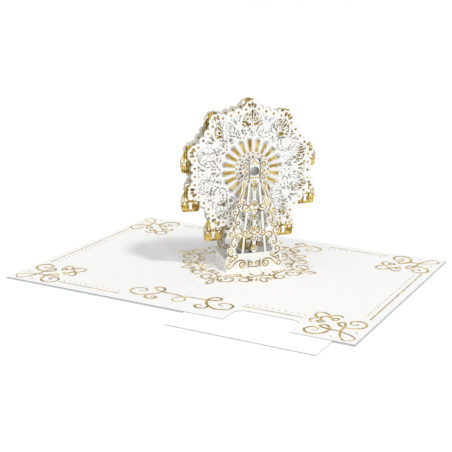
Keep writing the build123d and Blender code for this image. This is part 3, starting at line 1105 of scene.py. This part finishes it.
@dataclass
class Tower(HubPlate):
    """Openwork tower plate; x is to the right of its centre, y is the height over the page."""

    hub_height: float = 70.2
    foot_half: float = 20.3
    foot_height: float = 8.6
    band_height: float = 12.3
    eye_radius: float = 3.2
    head_half: float = 5.2
    head_bottom: float = 63.6
    column_half: float = 1.2
    strut_foot: float = 8.4
    strut_head: float = 3.2
    strut_width: float = 1.45
    margin: float = 1.15
    base_offset: float = 4.2
    base_low: float = 3.05
    base_high: float = 7.75
    gems_up: tuple[float, ...] = (59.2, 38.2, 16.4)
    gems_down: tuple[float, ...] = (47.4, 29.8)
    gem_half: float = 1.95
    gem_margin: float = 0.95
    gem_line: float = 0.34
    rib_foot: tuple[float, float] = (0.186, -0.9625)
    rib_tip: tuple[float, float] = (1.209, 0.8775)
    rib_widths: tuple[float, float] = (0.3, 0.75)
    ring_heights: tuple[float, ...] = (42.6, 22.4)
    ring_radius: float = 1.15
    ring_paper: float = 2.1
    dot_heights: tuple[float, ...] = (56.5, 54.4, 52.3, 34.2, 12.4, 74.4)
    dot_radius: float = 0.4
    scroll_thin: float = 0.31
    scroll_thick: float = 0.45
    finial_line: float = 0.2

    def gems(self) -> list[tuple[float, int]]:
        """Heights of the gems, with 1 for those whose point is up and -1 for the others."""
        return [(gem, 1) for gem in self.gems_up] + [(gem, -1) for gem in self.gems_down]

    def leg_scrolls(self) -> list[Outline]:
        """Scrolls that run down the right leg, each from one curl to the next."""
        return [
            smooth([(7.9, 61.5), (7.1, 60.9), (6.4, 61.7), (7.2, 62.8), (8.4, 62.0), (7.6, 59.6),
                    (7.7, 57.4), (8.8, 54.3), (9.9, 51.4), (9.8, 48.9), (8.5, 47.7), (7.3, 48.6),
                    (7.8, 49.8), (8.7, 49.4)]),
            smooth([(11.6, 46.2), (10.9, 45.6), (10.0, 46.2), (10.5, 47.5), (11.9, 47.2),
                    (11.6, 44.9), (10.7, 43.2), (11.6, 40.9), (12.9, 38.2), (13.5, 35.4),
                    (12.4, 33.2), (10.8, 33.7), (10.7, 35.2), (11.8, 35.6), (12.1, 34.8)]),
            smooth([(11.7, 40.8), (13.6, 40.2), (15.1, 41.3), (14.8, 42.9), (13.4, 43.2),
                    (13.0, 42.2), (13.8, 41.8)]),
            smooth([(14.2, 31.0), (13.5, 30.4), (12.6, 31.1), (13.2, 32.3), (14.6, 31.8),
                    (14.5, 29.4), (13.7, 27.6), (14.6, 25.0), (15.9, 22.3), (16.3, 19.6),
                    (15.2, 17.7), (13.6, 18.2), (13.6, 19.7), (14.8, 19.7)]),
            smooth([(15.3, 25.4), (17.0, 25.2), (17.9, 26.6), (17.2, 28.0), (15.9, 27.5),
                    (16.4, 26.6)]),
            smooth([(17.0, 13.8), (16.2, 13.2), (15.3, 14.3), (16.3, 15.9), (18.2, 15.3),
                    (18.6, 13.0), (17.3, 11.0), (15.2, 10.3), (13.2, 9.2), (11.9, 10.4),
                    (12.6, 11.7), (13.8, 11.2)]),
        ]

    def foot_scrolls(self) -> list[Outline]:
        """Scrolls on the right half of the foot."""
        return [
            smooth([(0, 2.4), (1.8, 2.2), (3.5, 3.2), (3.7, 5.1), (2.3, 6.1), (1.1, 5.1),
                    (1.6, 3.9), (2.6, 4.3)]),
            smooth([(9.0, 4.2), (8.3, 3.5), (7.3, 4.2), (7.6, 5.7), (9.3, 6.0), (10.4, 4.6),
                    (9.9, 2.8), (8.1, 2.0), (6.6, 2.9), (6.2, 4.9), (7.4, 7.0), (9.9, 7.6),
                    (12.6, 6.8), (14.6, 4.8), (16.7, 2.8), (18.8, 2.3), (19.6, 3.9),
                    (18.8, 5.4), (17.4, 5.0), (17.8, 3.9)]),
            smooth([(13.5, 8.3), (15.2, 8.0), (16.3, 6.9), (17.9, 6.9), (18.2, 8.4), (17.0, 9.0),
                    (16.4, 8.1)]),
        ]

    def band_scrolls(self) -> list[Outline]:
        """Scrolls on the right half of the two bands."""
        return [
            smooth([(0.9, 42.9), (2.8, 43.6), (4.4, 42.6), (6.4, 42.2), (8.3, 43.6), (8.4, 45.8),
                    (6.6, 47.1), (4.8, 46.1), (4.9, 44.5), (6.3, 44.1), (6.9, 45.1)]),
            smooth([(2.4, 43.7), (3.6, 44.7), (3.9, 46.2), (2.9, 46.8), (2.3, 45.9)]),
            smooth([(0.8, 25.4), (2.5, 26.6), (4.3, 25.2), (6.2, 24.4), (7.9, 25.5), (7.7, 27.5),
                    (6.1, 28.1), (5.1, 27.0), (5.8, 26.0), (6.6, 26.6)]),
            smooth([(7.8, 25.2), (9.8, 26.6), (11.7, 26.6), (13.0, 25.3), (12.7, 23.6),
                    (11.2, 23.2), (10.5, 24.4), (11.5, 25.1)]),
            smooth([(2.0, 26.6), (3.4, 27.5), (3.9, 28.9), (2.9, 29.4), (2.4, 28.5)]),
            smooth([(0, 25.9), (1.2, 25.1), (1.5, 23.8)]),
        ]

    def head_scrolls(self) -> list[Outline]:
        """Scrolls on the right half of the head, beside the slice's end."""
        return [
            smooth([(6.5, 74.6), (5.6, 74.3), (5.2, 75.4), (6.2, 76.4), (7.5, 75.7), (7.3, 74.0),
                    (5.6, 72.9), (5.3, 71.6), (6.6, 70.8), (7.5, 70.2), (6.6, 69.5),
                    (5.4, 68.7), (5.7, 67.4), (7.2, 66.3), (7.4, 64.9), (6.2, 64.4),
                    (5.4, 65.2), (6.1, 66.0)]),
            smooth([(3.3, 75.5), (2.3, 75.3), (1.4, 76.0), (0.7, 77.0), (0, 77.2)]),
            smooth([(3.3, 65.9), (2.0, 65.3), (0.9, 65.8), (0, 65.5)]),
            smooth([(3.3, 66.0), (3.5, 67.6), (3.2, 69.0)]),
            smooth([(0, 61.3), (1.0, 62.2), (0.5, 63.2), (1.3, 64.0)], 4),
        ]

    def kept(self) -> list[Outline]:
        """Paper of the plate: a margin round each scroll, struts, column, bands and foot.

        Returns:
            Outlines that join into the plate.
        """
        legs = [stroke(path, self.margin) for path in self.leg_scrolls()]
        legs += [disc(x, y, radius, 24) for x, y, radius in (
            (7.4, 61.8, 2.0), (8.6, 48.9, 2.4), (10.9, 46.5, 2.2), (11.6, 34.7, 2.7),
            (13.9, 41.8, 2.3), (13.4, 31.4, 2.2), (14.7, 19.2, 2.7), (16.7, 26.7, 2.2),
            (17.0, 14.4, 2.8), (12.8, 10.6, 2.2), (17.0, 8.0, 2.6), (6.5, 44.8, 3.2),
            (6.4, 26.2, 2.8), (11.7, 24.9, 2.6), (3.2, 45.9, 1.6), (3.2, 28.4, 1.6))]
        legs += [stroke(smooth([(9.6, 49.6), (11.4, 44.4), (12.6, 38.0), (12.8, 32.4),
                                (14.6, 26.0), (15.2, 19.2), (14.6, 12.0)]), 1.4),
                 stroke(smooth([(6.0, 65.0), (7.4, 61.0), (8.4, 56.0), (9.6, 50.0)]), 1.2),
                 bar((self.strut_foot, self.band_height - 1),
                     (self.strut_head, self.head_bottom + 1),
                     self.strut_width, self.strut_width, 4)]
        legs += [disc(6.3, 75.3, 2.4, 24), disc(6.9, 70.2, 2.0, 24), disc(6.3, 65.4, 2.3, 24),
                 box(4.0, 65.0, 6.4, 75.6), disc(self.foot_half - 2.6, self.foot_height, 2.6, 24)]
        middle = [box(-self.foot_half, 0, self.foot_half, self.foot_height),
                  box(-15.0, 0, 15.0, self.band_height),
                  box(-10.5, 43.1, 10.5, 45.4), box(-13.0, 24.6, 13.0, 26.8),
                  box(-self.column_half, 12, self.column_half, 64),
                  box(-self.head_half, self.head_bottom, self.head_half, 76.2),
                  disc(0, 75.8, 3.2, 30), disc(0, 63.6, 2.6, 24)]
        middle += [pear(0, gem, self.gem_half + self.gem_margin, point)
                   for gem, point in self.gems()]
        middle += [disc(0, ring, self.ring_paper, 20) for ring in self.ring_heights]
        return both_sides(legs) + middle

    def cut(self) -> list[Outline]:
        """Eye, and slits for the hub and base slices.

        Returns:
            The openings.
        """
        eye = disc(0, self.hub_height, self.eye_radius, 36)
        base_slits = slice_slits(self.base_offset, self.base_low, self.base_high)
        return [eye] + self.hub_slits(self.hub_height) + base_slits

    def draw(self, face: FoilPrint, lowest: float) -> None:
        """Foil on one face.

        Args:
            face: Where it is printed.
            lowest: Height below which the face is hidden and left plain.
        """
        paths = self.leg_scrolls() + self.band_scrolls() + self.head_scrolls()
        if lowest <= 0:
            paths += self.foot_scrolls()
        face.lines(both_sides(paths), self.scroll_thin, self.scroll_thick)
        for gem, point in self.gems():
            face.line(closed(pear(0, gem, self.gem_half, point)), self.gem_line)
            for lean in (-1, 0, 1):
                foot, tip = [(lean * x, gem + y * point) for x, y in (self.rib_foot, self.rib_tip)]
                face.fill(bar(foot, tip, *self.rib_widths, 3))
        face.lines([closed(disc(0, ring, self.ring_radius, 14)) for ring in self.ring_heights],
                   self.scroll_thin)
        face.dots([(0, height) for height in self.dot_heights], self.dot_radius, 8)
        finial = smooth([(0.2, 77.0), (-0.9, 77.6), (-0.3, 78.6), (0.8, 78.2), (0.5, 77.5)])
        face.line(finial, self.finial_line)

    def build(self, stand: Stand, paper: SheetFinish, foil: bpy.types.Material) -> None:
        """Makes the plate and its foil print on both faces.

        Args:
            stand: Plane of the plate, with its origin on the page.
            paper: Finish of the card.
            foil: Finish of the print.
        """
        plate = paper.cut(f"lace_{self.node}", Cutting(self.kept(), self.cut()), stand)
        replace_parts(plate, self.node)
        glued = -1 if self.side == "front" else 1
        prints = Solid()
        for facing in (-1, 1):
            lowest = self.foot_height if facing == glued else 0.0
            self.draw(FoilPrint(prints, facing * PAPER / 2, facing), lowest)
        make_foil(f"{self.node}_foil", prints, stand, foil)


# Foil on the page

@dataclass
class PagePrint:
    """Foil border, corner flourishes and the square ornament round the plinth."""

    half_length: float = 126.6
    half_depth: float = 88.5
    line_half: float = 0.45
    dot_radius: float = 0.62
    corner_dot_radius: float = 0.7
    thin: float = 0.4
    thick: float = 0.9
    side_line: float = 120.6
    side_reach: tuple[float, float] = (-48.0, 52.0)
    side_dots: float = 116.5
    side_dot_reach: tuple[float, float, float] = (-44.0, 50.0, 4.0)
    rows: tuple[tuple[float, ...], ...] = (
        (-89.0, -40.0, -80.0, -76.0), (41.0, 83.0, -63.0, -58.6),
        (-86.0, -40.0, 80.5, 76.5), (40.0, 86.0, 80.5, 76.5))
    row_dot_inset: float = 2.0
    row_dot_step: float = 4.4
    square_centre: tuple[float, float] = (0.8, 18.6)
    square_thin: float = 0.33
    square_thick: float = 0.78
    back_quarter: int = 270

    def corner(self) -> tuple[list[Outline], list[tuple[float, float]]]:
        """Flourish of one corner: distances in from the short and the long edge.

        Returns:
            Strokes and dots. One half is drawn, and the other swaps the two distances.
        """
        scroll = smooth([(4.4, 4.4), (3.0, 8.2), (8.2, 12.4), (15.5, 14.9), (24.6, 15.6),
                         (29.4, 18.2), (26.2, 20.8), (22.2, 16.4), (22.4, 10.0), (26.0, 5.0),
                         (32.0, 4.6), (35.4, 9.2), (32.8, 14.4), (28.2, 13.2), (28.4, 9.9),
                         (31.0, 10.0)], 7)
        crown = smooth([(38.9, 38.9), (34.0, 39.0), (30.6, 36.6), (29.5, 34.8)])
        crown_end = smooth([(29.5, 34.8), (27.6, 37.7), (24.2, 38.6), (21.2, 36.2)])
        petal = smooth([(25.0, 28.6), (26.4, 31.6), (24.6, 33.8), (22.9, 32.2), (25.0, 28.6)])
        heart = smooth([(28.6, 25.2), (32.2, 27.2), (33.9, 30.8), (33.2, 33.2)])
        half = [scroll, crown, crown_end, petal, heart]
        swapped = [path[:, ::-1] for path in half]
        return half + swapped, [(17.2, 5.6), (5.6, 17.2)]

    def edge_middle(self) -> list[Outline]:
        """Flourish at one end of the fold: x across the fold, y in from the edge.

        Returns:
            Strokes of both halves.
        """
        scroll = smooth([(0, 12.0), (4.2, 15.6), (2.2, 20.8), (-4.6, 23.8), (-13.0, 24.2),
                         (-20.6, 25.6), (-24.6, 28.8), (-21.8, 31.8), (-17.6, 29.2),
                         (-17.2, 23.2), (-21.6, 16.4), (-29.4, 12.8), (-36.6, 16.2),
                         (-36.2, 23.0), (-29.6, 24.8), (-27.2, 20.8), (-31.2, 19.2)], 7)
        curl = smooth([(-21.8, 16.2), (-22.6, 11.6), (-17.8, 9.4), (-14.4, 12.6), (-17.2, 14.8),
                       (-18.8, 12.9)])
        return both_sides([scroll, curl])

    def square_side(self) -> tuple[list[Outline], list[Outline], list[tuple[float, float]]]:
        """One side of the square ornament: x along the side, y out from its centre.

        Returns:
            Strokes, with the corner's leaf last, solid leaves and dots.
        """
        strokes = [smooth([(25.5, 24.5), (29.0, 30.5), (29.6, 34.6), (27.0, 38.0), (22.8, 38.6),
                           (19.6, 36.2), (19.4, 32.8), (22.0, 31.0), (24.8, 32.6), (23.4, 34.6)]),
                   smooth([(34.0, 31.0), (29.6, 28.6), (24.0, 27.6), (18.6, 28.2), (13.4, 31.4),
                           (9.8, 35.2), (9.2, 39.0), (11.6, 42.0), (15.0, 41.0), (16.0, 38.0),
                           (13.8, 35.8), (11.2, 37.0)]),
                   smooth([(13.4, 31.4), (8.0, 34.4), (3.4, 33.2), (0, 34.6)]),
                   smooth([(4.2, 24.4), (4.4, 29.0), (0, 32.4)]),
                   smooth([(18.0, 24.0), (18.8, 28.0), (15.6, 29.4), (14.0, 26.6), (16.0, 25.2)])]
        middle = [smooth([(0, 36.2), (-2.4, 40.4), (-1.2, 45.2), (1.0, 45.8), (2.4, 42.0),
                          (0, 36.2)]),
                  smooth([(31.4, 31.0), (34.6, 37.2), (38.6, 39.0), (37.4, 34.4), (31.0, 31.4)])]
        leaf = np.array([(0, 0), (0.9, 1.6), (0.8, 3.4), (0, 5.4), (-0.7, 3.6), (-0.6, 1.6)])
        spots = [(3.0, 36.8, 22), (6.4, 37.0, 26), (8.4, 29.8, -20), (11.4, 25.0, 10),
                 (31.2, 26.4, 60)]
        leaves = [moved(turned(1.3 * leaf, angle), x, y) for x, y, angle in spots]
        dots = [(x, 21.5) for x in (0.0, 4.0, 8.0, 12.0)] + [(18.4, 41.2), (24.6, 41.6),
                                                          (30.6, 37.4), (21.4, 24.4), (26.0, 20.6)]
        return both_sides(strokes) + middle, both_sides(leaves), dots + [
            (-x, y) for x, y in dots if x]

    def build(self, foil: bpy.types.Material) -> None:
        """Makes the print in one mesh on top of the page.

        Args:
            foil: Finish of the print.
        """
        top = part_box("page")[1].z / MM
        face = FoilPrint(Solid(), 0.0, 1)
        paths, spots = self.corner()
        for side_x in (-1, 1):
            for side_y in (-1, 1):
                sides = np.array([-side_x, -side_y])
                origin = np.array([side_x * self.half_length, side_y * self.half_depth])
                face.lines([path * sides + origin for path in paths], self.thin, self.thick)
                face.dots([tuple(np.array(spot) * sides + origin) for spot in spots],
                          self.corner_dot_radius)
        for side_y in (-1, 1):
            sides = np.array([1, -side_y])
            origin = np.array([0, side_y * self.half_depth])
            face.lines([path * sides + origin for path in self.edge_middle()], self.thin,
                       self.thick)
        self.borders(face)
        make_foil("page_foil", face.solid, Flat(0, 0, top), foil)
        self.build_square(foil, top)

    def borders(self, face: FoilPrint) -> None:
        """Straight lines and rows of dots along the edges.

        A row holds where it starts and ends, and how far back its line and its dots are.

        Args:
            face: Where they are printed.
        """
        for side in (-1, 1):
            face.line(np.array([(side * self.side_line, y) for y in self.side_reach]),
                      self.line_half)
            face.dots([(side * self.side_dots, y) for y in np.arange(*self.side_dot_reach)],
                      self.dot_radius, 10)
        for start, end, line_y, dots_y in self.rows:
            face.line(np.array([(start, line_y), (end, line_y)]), self.line_half)
            places = np.arange(start + self.row_dot_inset, end, self.row_dot_step)
            face.dots([(x, dots_y) for x in places], self.dot_radius, 10)

    def build_square(self, foil: bpy.types.Material, top: float) -> None:
        """Makes the ornament round the plinth, four sides of one drawing.

        The leaf of the back corner is left out, because the back flourish is in its place.

        Args:
            foil: Finish of the print.
            top: Height of the page.
        """
        strokes, leaves, dots = self.square_side()
        face = FoilPrint(Solid(), 0.0, 1)
        for quarter in range(0, 360, 90):
            shown = strokes[:-1] if quarter == self.back_quarter else strokes
            face.lines([turned(path, quarter) for path in shown], self.square_thin,
                       self.square_thick)
            for leaf in leaves:
                face.fill(turned(leaf, quarter))
            face.dots([tuple(turned(np.array([dot]), quarter)[0]) for dot in dots],
                      self.dot_radius, 10)
        make_foil("square_foil", face.solid, Flat(*self.square_centre, top, 45), foil)


# Studio

@dataclass(frozen=True)
class Studio:
    """White sweep, light from the zenith and the front right, a soft key lamp and the camera."""

    floor_colour: str = "#F4F4F4"
    floor_lift: float = 0.12
    floor_size: float = 6.0
    sky_level: float = 0.08
    sky_zenith: float = 0.92
    sky_front: float = 1.2
    front_from: tuple[float, float, float] = (0.2, -0.97, 0.15)
    key_strength: float = 1.25
    key_spread: float = 7.0
    key_from: tuple[float, float, float] = (0.71, -0.2, 1.0)
    camera_place: tuple[float, float, float] = (0.31337, -0.58483, 0.21858)
    camera_azimuth: float = 28.52
    camera_pitch: float = 15.70
    lens: float = 79.46

    def floor(self) -> None:
        """Level white floor under the card; its lift to full white is for the camera alone."""
        half = self.floor_size / 2
        material, tree = new_material("white_paper_sweep")
        path = add_node(tree, "ShaderNodeLightPath")
        lift = add_node(tree, "ShaderNodeMath", {"operation": "MULTIPLY"}, {
            0: path.outputs["Is Camera Ray"], 1: self.floor_lift})
        shader = add_node(tree, "ShaderNodeBsdfPrincipled", {}, {
            "Base Color": linear(self.floor_colour), "Roughness": 0.9, "Specular IOR Level": 0.1,
            "Emission Color": linear("#FFFFFF"), "Emission Strength": lift.outputs[0]})
        add_node(tree, "ShaderNodeOutputMaterial", {}, {"Surface": shader.outputs["BSDF"]})
        mesh = bpy.data.meshes.new("floor")
        corners = [(-half, -half, 0), (half, -half, 0), (half, half, 0), (-half, half, 0)]
        mesh.from_pydata(corners, [], [(0, 1, 2, 3)])
        mesh.materials.append(material)
        floor = bpy.data.objects.new("floor", mesh)
        bpy.context.scene.collection.objects.link(floor)

    def sky(self) -> None:
        """White light: a level, the square of the height, and the square of the front part.

        The camera and reflections see plain white instead.
        """
        world = bpy.data.worlds.new("studio")
        world.use_nodes = True
        tree = world.node_tree
        tree.nodes.clear()
        path = add_node(tree, "ShaderNodeLightPath")
        heading = add_node(tree, "ShaderNodeTexCoord").outputs["Generated"]
        height = add_node(tree, "ShaderNodeSeparateXYZ", {}, {0: heading}).outputs["Z"]
        front = add_node(tree, "ShaderNodeVectorMath", {"operation": "DOT_PRODUCT"}, {
            0: heading, 1: self.front_from}).outputs["Value"]
        total: float | bpy.types.NodeSocket = self.sky_level
        for share, level in ((height, self.sky_zenith), (front, self.sky_front)):
            part = add_node(tree, "ShaderNodeMath", {"operation": "MAXIMUM"}, {0: share, 1: 0.0})
            square = add_node(tree, "ShaderNodeMath", {"operation": "POWER"}, {
                0: part.outputs[0], 1: 2.0})
            total = add_node(tree, "ShaderNodeMath", {"operation": "MULTIPLY_ADD"}, {
                0: square.outputs[0], 1: level, 2: total}).outputs[0]
        light = add_node(tree, "ShaderNodeBackground", {}, {
            "Color": linear("#FFFFFF"), "Strength": total})
        seen = add_node(tree, "ShaderNodeBackground", {}, {
            "Color": linear("#FFFFFF"), "Strength": 1.0})
        direct = add_node(tree, "ShaderNodeMath", {"operation": "MAXIMUM"}, {
            0: path.outputs["Is Camera Ray"], 1: path.outputs["Is Glossy Ray"]})
        mix = add_node(tree, "ShaderNodeMixShader", {}, {
            0: direct.outputs[0], 1: light.outputs[0], 2: seen.outputs[0]})
        add_node(tree, "ShaderNodeOutputWorld", {}, {"Surface": mix.outputs[0]})
        bpy.context.scene.world = world

    def key(self) -> None:
        """Soft lamp far off to the right, as wide to the eye as its spread in degrees."""
        data = bpy.data.lights.new("key", "SUN")
        data.energy = self.key_strength
        data.angle = math.radians(self.key_spread)
        lamp = bpy.data.objects.new("key", data)
        place = np.array(self.key_from)
        back = place / np.linalg.norm(place)
        side = np.cross((0, 0, 1), back)
        side /= np.linalg.norm(side)
        lamp.matrix_world = aimed(side, np.cross(back, side), back, place)
        bpy.context.scene.collection.objects.link(lamp)

    def camera(self) -> None:
        """Camera of the photograph."""
        turn, pitch = math.radians(self.camera_azimuth), math.radians(self.camera_pitch)
        back = np.array([math.sin(turn) * math.cos(pitch), -math.cos(turn) * math.cos(pitch),
                         math.sin(pitch)])
        side = np.array([math.cos(turn), math.sin(turn), 0.0])
        data = bpy.data.cameras.new("camera")
        data.lens = self.lens
        data.sensor_width = 36.0
        camera = bpy.data.objects.new("camera", data)
        camera.matrix_world = aimed(side, np.cross(back, side), back, np.array(self.camera_place))
        bpy.context.scene.collection.objects.link(camera)
        bpy.context.scene.camera = camera

    def build(self) -> None:
        """Makes the floor, the light and the camera."""
        self.floor()
        self.sky()
        self.key()
        self.camera()
        bpy.context.scene.view_settings.view_transform = "Standard"


def aimed(side: np.ndarray, up: np.ndarray, back: np.ndarray, place: np.ndarray) -> Matrix:
    """World matrix of a camera or lamp: its axes and its place as columns.

    Args:
        side, up, back: Its three axes.
        place: Its place.

    Returns:
        The matrix.
    """
    rows = np.eye(4)
    rows[:3, :4] = np.column_stack([side, up, back, place])
    return Matrix(rows.tolist())


def dress_nodes(materials: dict[Slot, bpy.types.Material]) -> None:
    """Gives every CAD node the finish of its slot in the record.

    Args:
        materials: Finish of each slot.
    """
    for part in frame["record"]["subparts"]:
        node = frame["nodes"][part["node"]]
        node.data.materials.clear()
        node.data.materials.append(materials[Slot(part["material_slot"])])
        LOG.info("%s: dressed in %s", part["node"], part["material_slot"])


def main() -> None:
    """Builds every piece in turn, from the discs out to the studio."""
    logging.basicConfig(level=logging.INFO)
    # Calendered cotton card, matt and near-white: it takes the colour of the light.
    white = CardStock("smooth_white_card").build()
    # The same card in the lace, a little duller, as its threads catch less light.
    lace = CardStock("laser_cut_white_card", "#EFEFED", "#EBEBE9").build()
    # Folded board of cover and page: a white face, with painted shade in grey on its edges and
    # crease walls.
    flat = CardStock("smooth_white_board", "#F2F2F1", "#F0F0EF", edge="#A4A8AB").build()
    # Brightened writing card: whiter than the page it slides out of, with painted shade in grey on
    # its edges.
    note = CardStock("bright_white_note_card", "#FCFCFC", "#FAFAFA", edge="#B4B8BB").build()
    # Cut walls in a warm tan round every cut: the laser's scorch, and painted shade in the holes.
    edge = CardStock("laser_scorch_and_painted_shade_edge", "#BDB29C", "#A89C84", mottle_mm=3.0).build()
    # Gold foil pressed into a wicker grain on the cars: painted glints, broken pale and ochre, and
    # a painted reflection in its tone.
    gold = GoldFoil("gold_foil_card", "#8A6A1E", "#CDAD50", "#EBD385", grain_mm=1.1,
                    metal=0.5).build()
    # Gold foil on smooth card behind the slots: a painted reflection that drifts slowly from ochre
    # to pale yellow.
    bright = GoldFoil("gold_foil_card_smooth", "#A27E28", "#CDAC54", "#EED98F", 7.0).build()
    # Liner between cover and page in flat grey: painted shade of the gap between the panels, seen
    # at the edges and in the notch.
    liner_shade = CardStock("liner_painted_gap_shade", "#B4B6B8", "#A6A8AA").build()
    # Foil stamped on paper as print: darker than foil card, bright only where it faces light, with
    # a painted reflection drifting through its tone.
    foil = GoldFoil("stamped_gold_foil", "#7E661E", "#B4953A", "#DFC878", metal=0.55).build()
    # Faces of the lace that turn to the gap, in a yellowish grey: the laser's smoke haze on the
    # back of the card, and painted shade of the gap between the plates.
    gap_face = CardStock("smoke_haze_and_painted_gap_shade", "#E2E1DB", "#D8D6D0", mottle_mm=6.0).build()
    dress_nodes({Slot.WHITE: white, Slot.LACE: lace, Slot.GOLD: gold})
    # Slices in mid grey: painted shade, so that they stay dark in the shade of the plates.
    slice_shade = CardStock("slice_card_painted_shade", "#989894", "#8C8C88").build()
    slices = [(f"{level}_slice_{side}", slice_shade) for level in ("hub", "base")
              for side in ("left", "right")]
    for node, finish in [("cover", flat), ("page", flat), ("note_card", note),
                         ("pocket_liner", liner_shade)] + slices:
        frame["nodes"][node].data.materials[0] = finish
    paper = SheetFinish(lace, edge, gap_face, Slot.LACE)
    cars = SheetFinish(gold, edge, gold, Slot.GOLD)
    rays = SheetFinish(bright, edge, bright, Slot.GOLD)

    page_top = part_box("page")[1].z / MM
    low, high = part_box("wheel_front")
    hub = (low.z + high.z) / 2 / MM
    for side in ("front", "back"):
        LaceDisc(f"wheel_{side}").build(Stand.at(f"wheel_{side}", hub), paper, foil)
        Sunburst(f"sunburst_{side}").build(Stand.at(f"sunburst_{side}", hub), rays)
        Tower(f"tower_{side}").build(Stand.at(f"tower_{side}", page_top), paper, foil)
    for number in range(1, 11):
        Gondola().build(number, cars)
    PagePrint().build(foil)
    Studio().build()


if __name__ == "__main__":
    main()
